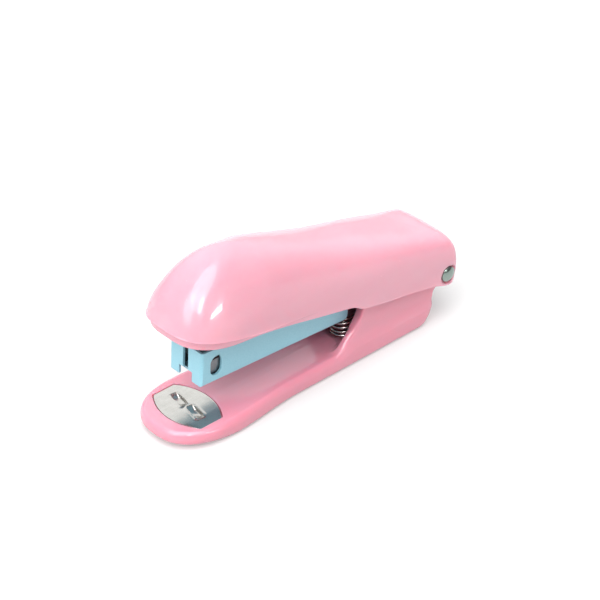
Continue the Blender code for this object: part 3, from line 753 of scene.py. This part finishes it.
def make_base():
    """The base shell: a tongue with a trough, swept up into two cheeks with a slot between them."""
    rings = [
        base_ring(99, 1.8), base_ring(3.2, 1.8, 0.3), base_ring(3.2, 0.3),
        base_ring(0.9, 0.3), base_ring(0.3, 0.7), base_ring(0, 1.5), flank_ring(0, 2.6, 3.4),
        flank_ring(0, 3.7, 6.2), flank_ring(0.25, 4.9, 8.0), flank_ring(0.7, 5.6, 10.2),
        flank_ring(1.5, RIM_Z, 12.4), flank_ring(3.0, RIM_Z - 0.1, 12.4),
        trough_ring(0.35, 0.25), trough_ring(0.6, 0.8), trough_ring(0.8, 1.15), trough_ring(1.0, 1.3),
    ]
    shell = piece("base_body", ringed(base_side(), rings))
    cheeks = piece("cheeks", prism("X", cheek_section(), CHEEK_FRONT - 13, 9))
    keep(cheeks, prism("Y", cheek_profile(), -PAST, PAST))
    combine(shell, cheeks, "UNION")
    combine(shell, make_root(), "UNION")
    remesh = shell.modifiers.new("remesh", "REMESH")
    remesh.mode = "VOXEL"
    remesh.voxel_size = 0.3
    settle(shell)
    soften(shell, 6)
    soften(shell, 80, side_weight)
    cut(shell, prism("Z", slot_outline(PAST), FLOOR_Z - 0.6, PAST))
    cut(shell, prism("Z", slot_outline(SPRING_X + 8, 0.12), WELL_Z + GAP, PAST))
    cut(shell, rod("Z", (SPRING_X, 0), WELL_R, WELL_Z, FLOOR_Z + 1))
    cut(shell, rod("Y", (0, PIN_Z), PIN_HOLE_R, -PAST, PAST))
    pocket = PLATE_TOP - PLATE_THICK - GAP
    cut(shell, prism("Z", plate_outline(GAP), pocket, PAST))
    finish_mesh(shell, 40)
    # The base gets the darker copy of the pink plastic, painted shade for its trough.
    show(shell, SHADED_PINK, "base", "pink_plastic", "base_shell")


def make_sole():
    """The non-slip sole, with fine ribs moulded across its underside."""
    outline = [base_ring(2.2, 0.3)(x, y)[:2] for x, y in base_side((20, 40, 12))]
    loop = outline + [(x, -y) for x, y in reversed(outline[1:-1])]
    sole = piece("sole", prism("Z", loop, 0, 1.5))
    for i in range(16):
        x = -98 + 5.6 * i
        cut(sole, box((x, x + 1.4), (-9.5, 9.5), (-1, 0.35)))
    bevel(sole, 0.15, 1)
    show(sole, RUBBER, "base", "sole_rubber", "base_sole")


def make_anvil():
    """The anvil plate: its ends roll down, and two staggered clinch grooves are pressed into it."""
    rows, columns = 90, 56
    half, bulge = PLATE_HALF, PLATE_BULGE
    radius = bow_radius(half, bulge)
    middle = (PLATE_X[0] + PLATE_X[1]) / 2
    shape = bmesh.new()
    layers = []
    for top in (True, False):
        grid = []
        for i in range(rows + 1):
            y = half * (2 * i / rows - 1)
            bow = math.sqrt(radius ** 2 - y ** 2) - radius + bulge
            width = (PLATE_X[1] - PLATE_X[0]) / 2 + bow
            row = []
            for j in range(columns + 1):
                u = math.sin(math.pi / 2 * (2 * j / columns - 1))
                x = middle + width * u
                z = plate_height(x - middle, y, width) if top else PLATE_TOP - PLATE_THICK
                row.append(shape.verts.new((x, y, z)))
            grid.append(row)
        layers.append(grid)
    for grid in layers:
        for i in range(rows):
            for j in range(columns):
                shape.faces.new((grid[i][j], grid[i][j + 1], grid[i + 1][j + 1], grid[i + 1][j]))
    top, under = layers
    rim = [(i, 0) for i in range(rows)] + [(rows, j) for j in range(columns)]
    rim += [(i, columns) for i in range(rows, 0, -1)] + [(0, j) for j in range(columns, 0, -1)]
    for (a, b), (c, d) in zip(rim, rim[1:] + rim[:1]):
        shape.faces.new((top[a][b], top[c][d], under[c][d], under[a][b]))
    plate = piece("anvil", shape)
    for side in (-1, 1):
        cut(plate, groove_cutter(side))
    finish_mesh(plate, 35)
    show(plate, PLATE, "base", "bright_steel", "anvil_plate")


def groove_place(x, y, side):
    """A point as seen from a clinch groove: along and across it, from its middle."""
    dx, dy = x - GROOVE[0] * side, y - GROOVE[1] * side
    sine, cosine = math.sin(GROOVE_SKEW), math.cos(GROOVE_SKEW)
    return dy * cosine + dx * sine, dx * cosine - dy * sine


def plate_height(x, y, width):
    """Height of the plate's top: rolled ends and edges, and a raised rim round each clinch groove."""
    z = PLATE_TOP - 0.35 * ease(-y, 6.5, 11.5) - 0.1 * ease(y, 8, 12)
    z -= 0.06 * ease(abs(x) / width, 0.96, 1.0)
    for side in (-1, 1):
        along, across = groove_place(x, y, side)
        away = math.hypot(max(0.0, abs(along) - 2.6), max(0.0, abs(across) - 0.75))
        z += 0.3 * math.exp(-((away - 0.85) / 0.5) ** 2)
    return z


def groove_cutter(side):
    """A scooped pocket with steep sides that guides a staple's leg round."""
    deep, half = 1.0, 3.75
    sine, cosine = math.sin(GROOVE_SKEW), math.cos(GROOVE_SKEW)
    radius = bow_radius(half, deep)
    shape = bmesh.new()
    rings = []
    for wide, low in ((1.6, 0.5), (1.45, 0.0), (1.2, -deep * 0.8), (0.8, -deep)):
        ring = []
        reach = half * math.sqrt(max(0.04, 1 + min(0.0, low) / (deep * 1.25)))
        for across, along in arc((0, 0), 1, 0, 345, 23):
            u = reach * math.copysign(abs(along) ** 0.75, along)
            v = wide * math.copysign(abs(across) ** 0.5, across)
            rise = radius - math.sqrt(radius ** 2 - u ** 2)
            x = GROOVE[0] * side + v * cosine + u * sine
            y = GROOVE[1] * side + u * cosine - v * sine
            z = PLATE_TOP + low + (rise if low < 0 else 0)
            ring.append(shape.verts.new(((PLATE_X[0] + PLATE_X[1]) / 2 + x, y, z)))
        rings.append(ring)
    shape.faces.new(rings[0])
    shape.faces.new(list(reversed(rings[-1])))
    bridge(shape, rings)
    return shape


def sweep(axis, centre, path, wire_r, sides=12):
    """A round wire along points (angle, coil radius, place along the axis)."""
    place = {
        "X": lambda a, b, h: Vector((h, centre[0] + a, centre[1] + b)),
        "Z": lambda a, b, h: Vector((centre[0] + a, centre[1] + b, h)),
    }[axis]
    points = [place(r * math.cos(t), r * math.sin(t), h) for t, r, h in path]
    along = place(0, 0, 1) - place(0, 0, 0)
    shape = bmesh.new()
    rings = []
    for i, point in enumerate(points):
        tangent = (points[min(i + 1, len(points) - 1)] - points[max(i - 1, 0)]).normalized()
        outward = tangent.cross(along).normalized()
        over = outward.cross(tangent)
        ring = []
        for k in range(sides):
            t = 2 * math.pi * k / sides
            ring.append(shape.verts.new(point + wire_r * (math.cos(t) * outward + math.sin(t) * over)))
        rings.append(ring)
    shape.faces.new(rings[0])
    shape.faces.new(list(reversed(rings[-1])))
    bridge(shape, rings)
    return shape


def coil_path(turns, closed, coil_r, wire_r, low, high, steps=40, start=0.0):
    """A compression spring's path: its end coils lie close together and the rest are open."""
    count = round(turns * steps)
    open_turns = turns - 2 * closed
    gap = 2.1 * wire_r
    rise = (high - low - 2 * wire_r - 2 * closed * gap) / open_turns
    path = []
    height = low + wire_r
    for i in range(count + 1):
        at = i / steps
        path.append((start + 2 * math.pi * at, coil_r, height))
        end = min(at, turns - at)
        height += (gap + (rise - gap) * ease(end, closed - 0.3, closed + 0.3)) / steps
    shift = (high - wire_r - path[-1][2]) / count
    return [(t, r, h + shift * i) for i, (t, r, h) in enumerate(path)]


def make_springs():
    """The return spring between base and magazine, and the pusher's spring on its rod."""
    wire_r, low, high = 0.5, WELL_Z + GAP, PIN_Z - 4.15
    path = coil_path(6.2, 1.0, 4.2, wire_r, low, high, start=0.6)
    coil = piece("return_coil", sweep("Z", (SPRING_X, 0), path, wire_r, 14))
    show(coil, WIRE, "base", "plated_steel", "return_spring")
    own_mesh(coil)
    wire_r, front, back = 0.25, -84.7, -49.5
    path = coil_path(22, 1.0, 1.55, wire_r, front, back, steps=28)
    small = piece("pusher_coil", sweep("X", PUSHER_AXIS, path, wire_r, 8))
    show(small, WIRE, "magazine", "plated_steel", "pusher_spring")
    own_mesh(small)


def make_pin():
    """The pivot pin and its pressed-on far head, both with a low dome and a rounded edge."""
    face, top = COVER_REAR_HALF - 0.8, COVER_REAR_HALF + 0.35
    dome = [(PIN_HEAD_R, face), (PIN_HEAD_R, top - 0.62)]
    for degrees in (20, 45, 70):
        t = math.radians(degrees)
        dome.append((PIN_HEAD_R - 0.18 + 0.18 * math.cos(t), top - 0.62 + 0.18 * math.sin(t)))
    for share in (0.85, 0.7, 0.55, 0.4, 0.25, 0.1, 0.01):
        dome.append((PIN_HEAD_R * share, top + 0.35 - 0.85 * share ** 2))
    shank = [(PIN_R, top - 0.9), (PIN_R, -face)]
    pin = piece("pin", turned("Y", (0, PIN_Z), shank + [(r, -y) for r, y in dome]))
    show(pin, PIN, "base", "bright_steel", "pivot_pin")
    cap = piece("pin_cap", turned("Y", (0, PIN_Z), dome))
    cut(cap, rod("Y", (0, PIN_Z), PIN_R + 0.02, 0, top - 0.85))
    finish_mesh(cap, 40)
    show(cap, PIN, "base", "bright_steel", "pivot_cap")


# Magazine


def make_channel():
    """Folded steel channel: bent corners, a slotted front with a notch, and a window in each side."""
    low, high = MAG_Z
    heel = arc((MAG_REAR - 2.5, low + 2.5), 2.5, -90, 0, 16)
    side = [(MAG_FRONT, low)] + heel + [(MAG_REAR, high), (MAG_FRONT, high)]
    channel = piece("channel", prism("Y", side, -MAG_HALF, MAG_HALF))
    bend = 1.2
    corner = arc((MAG_FRONT + bend, -MAG_HALF + bend), bend, 180, 270, 12)
    plan = corner + [(0, -MAG_HALF), (0, MAG_HALF)] + [(x, -y) for x, y in reversed(corner)]
    keep(channel, prism("Z", plan, -PAST, PAST))
    fold = 0.9
    lower = arc((MAG_HALF - fold, low + fold), fold, 0, -90, 10)
    near = [(MAG_HALF, high + 1)] + lower
    section = near + [(-y, z) for y, z in reversed(near)]
    keep(channel, prism("X", section, MAG_FRONT - 1, MAG_REAR + 1))
    inside = MAG_HALF - SHEET
    cut(channel, box((MAG_FRONT + SHEET, 0), (-inside, inside), (low + SHEET, PAST)))
    front = (MAG_FRONT - 1, MAG_FRONT + SHEET + 0.7)
    cut(channel, box(front, (-1.2, 1.2), (-PAST, PAST)))
    cut(channel, box(front, (-3.0, 3.0), (-PAST, low + 3.3)))
    mouth = (MAG_FRONT + SHEET, MAG_FRONT + SHEET + 2.4)
    cut(channel, box(mouth, (-inside + 0.1, inside - 0.1), (-PAST, low + SHEET + 0.4)))
    window = arc((WINDOW_X, 1.4), WINDOW_R, 0, 180, 20) + arc((WINDOW_X, -0.9), WINDOW_R, 180, 360, 20)
    cut(channel, prism("Y", window, -PAST, PAST))
    nub = (WINDOW_X + 0.8, 2.95)
    cut(channel, rod("Y", nub, 0.85, -PAST, PAST, 24))
    for x in (-43.0, -39.8):
        cut(channel, rod("Y", (x, 0.8), 1.2, -PAST, PAST))
    bevel(channel, 0.12, 2, 40, 40)
    even = channel.modifiers.new("even", "WEIGHTED_NORMAL")
    even.keep_sharp = True
    settle(channel)
    show(channel, BLUE, "magazine", "blue_paint", "magazine_channel")


# Pieces that keep their CAD shape


def refine(node, finish, width=0.12, smooth=40):
    """The CAD node's shape with softened edges."""
    body = frame["nodes"][node]["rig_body"]
    slots = {s["node"]: s["material_slot"] for s in frame["record"]["subparts"]}
    made = bpy.data.objects.new("fine_" + node, frame["nodes"][node].data.copy())
    bpy.context.scene.collection.objects.link(made)
    made.data.transform(PLACE[body].inverted())
    weld = made.modifiers.new("weld", "WELD")
    weld.merge_threshold = 1e-3
    settle(made)
    flat = made.modifiers.new("flat", "DECIMATE")
    flat.decimate_type = "DISSOLVE"
    flat.angle_limit = math.radians(0.5)
    settle(made)
    bevel(made, width, 2, 30, smooth)
    show(made, finish, body, slots[node], node)


def make_inner_pieces():
    """The metal and plastic inside, each in its own finish."""
    for node in ("magazine_frame", "staple_core", "pusher", "driver_frame", "leaf_spring"):
        refine(node, PLAIN)
    refine("driver_blade", PLATE, 0.08)
    refine("spring_block", DARK, 0.25)
    refine("pivot_spacer", PLAIN)
    refine("spring_stud", BRIGHT, 0.1)
    for node in frame["nodes"]:
        if "rivet" in node or node == "guide_rod":
            refine(node, BRIGHT, 0.1)


# Stage


def make_stage():
    """A wide pale floor."""
    reach = (-FLOOR_HALF, FLOOR_HALF)
    shape = box(reach, reach, (-0.02, 0))
    mesh = bpy.data.meshes.new("floor")
    shape.to_mesh(mesh)
    shape.free()
    floor = bpy.data.objects.new("floor", mesh)
    bpy.context.scene.collection.objects.link(floor)
    paper, _, _, shader = new_material("floor_paper")
    shader.inputs["Base Color"].default_value = (0.46, 0.46, 0.46, 1)
    shader.inputs["Roughness"].default_value = 0.9
    shader.inputs["Specular IOR Level"].default_value = 0.1
    shader.inputs["Emission Color"].default_value = (1, 1, 1, 1)
    shader.inputs["Emission Strength"].default_value = 0.3
    mesh.materials.append(paper)


def area_light(name, at, towards, size, power, colour=(1, 1, 1), size_y=None):
    """A lamp that faces a place."""
    light = bpy.data.lights.new(name, "AREA")
    light.energy = power
    light.color = colour
    light.size = size
    if size_y:
        light.shape = "RECTANGLE"
        light.size_y = size_y
    made = bpy.data.objects.new(name, light)
    made.location = at
    made.rotation_euler = (Vector(towards) - Vector(at)).to_track_quat("-Z", "Y").to_euler()
    bpy.context.scene.collection.objects.link(made)
    return made


def map_range(nodes, links, value, span, target):
    """A smooth step from one range of values to another."""
    made = nodes.new("ShaderNodeMapRange")
    made.interpolation_type = "SMOOTHSTEP"
    made.inputs["From Min"].default_value, made.inputs["From Max"].default_value = span
    made.inputs["To Min"].default_value, made.inputs["To Max"].default_value = target
    links.new(value, made.inputs["Value"])
    return made.outputs["Result"]


def make_lights():
    """A white studio: a wide glow behind and above, a soft sun at the nose, and two small lamps."""
    world = bpy.data.worlds.new("studio")
    world.use_nodes = True
    nodes, links = world.node_tree.nodes, world.node_tree.links
    nodes["Background"].inputs["Color"].default_value = (1, 1, 1, 1)
    where = nodes.new("ShaderNodeTexCoord")
    facing = nodes.new("ShaderNodeVectorMath")
    facing.operation = "DOT_PRODUCT"
    facing.inputs[1].default_value = Vector((0.5, 0.52, 0.69)).normalized()
    links.new(where.outputs["Generated"], facing.inputs[0])
    height = nodes.new("ShaderNodeSeparateXYZ")
    links.new(where.outputs["Generated"], height.inputs[0])
    glow = map_range(nodes, links, facing.outputs["Value"], (0.45, 0.92), (0.32, 1.3))
    rise = map_range(nodes, links, height.outputs["Z"], (0.05, 0.3), (0.5, 1.0))
    strength = nodes.new("ShaderNodeMath")
    strength.operation = "MULTIPLY"
    links.new(glow, strength.inputs[0])
    links.new(rise, strength.inputs[1])
    links.new(strength.outputs[0], nodes["Background"].inputs["Strength"])
    bpy.context.scene.world = world
    for name, energy, angle, towards in (
        ("overhead", 3.9, 60, (0.33, 0.21, -0.92)),
        ("front", 1.1, 35, (0.82, 0.04, -0.57)),
    ):
        sun = bpy.data.lights.new(name, "SUN")
        sun.energy = energy
        sun.angle = math.radians(angle)
        made = bpy.data.objects.new(name, sun)
        made.rotation_euler = Vector(towards).to_track_quat("-Z", "Y").to_euler()
        bpy.context.scene.collection.objects.link(made)
    nose = Vector((-0.1, -0.01, 0.025))
    place = nose + 0.7 * Vector((-0.40, -0.63, 0.665))
    lamp = area_light("round_lamp", place, nose, 0.2, 1.2)
    lamp.data.shape = "DISK"
    lamp.visible_diffuse = False
    near = Vector((-0.095, -0.013, 0.02))
    place = near + 0.6 * Vector((0.197, -0.927, 0.318))
    strip = area_light("strip_lamp", place, near, 0.2, 0.85, size_y=0.045)
    strip.rotation_euler.rotate_axis("Z", math.radians(-11))
    strip.visible_diffuse = False


def make_camera():
    """A long lens at the photograph's angle."""
    camera = bpy.data.cameras.new("camera")
    camera.lens = CAMERA_LENS
    camera.sensor_width = 36
    camera.clip_end = 20
    made = bpy.data.objects.new("camera", camera)
    made.location = CAMERA_AT
    made.rotation_euler = CAMERA_LOOK.to_track_quat("-Z", "Y").to_euler()
    bpy.context.scene.collection.objects.link(made)
    bpy.context.scene.camera = made


make_camera()
make_cover()
make_base()
make_sole()
make_anvil()
make_springs()
make_pin()
make_channel()
make_inner_pieces()
make_stage()
make_lights()
bpy.context.scene.view_settings.view_transform = "Standard"
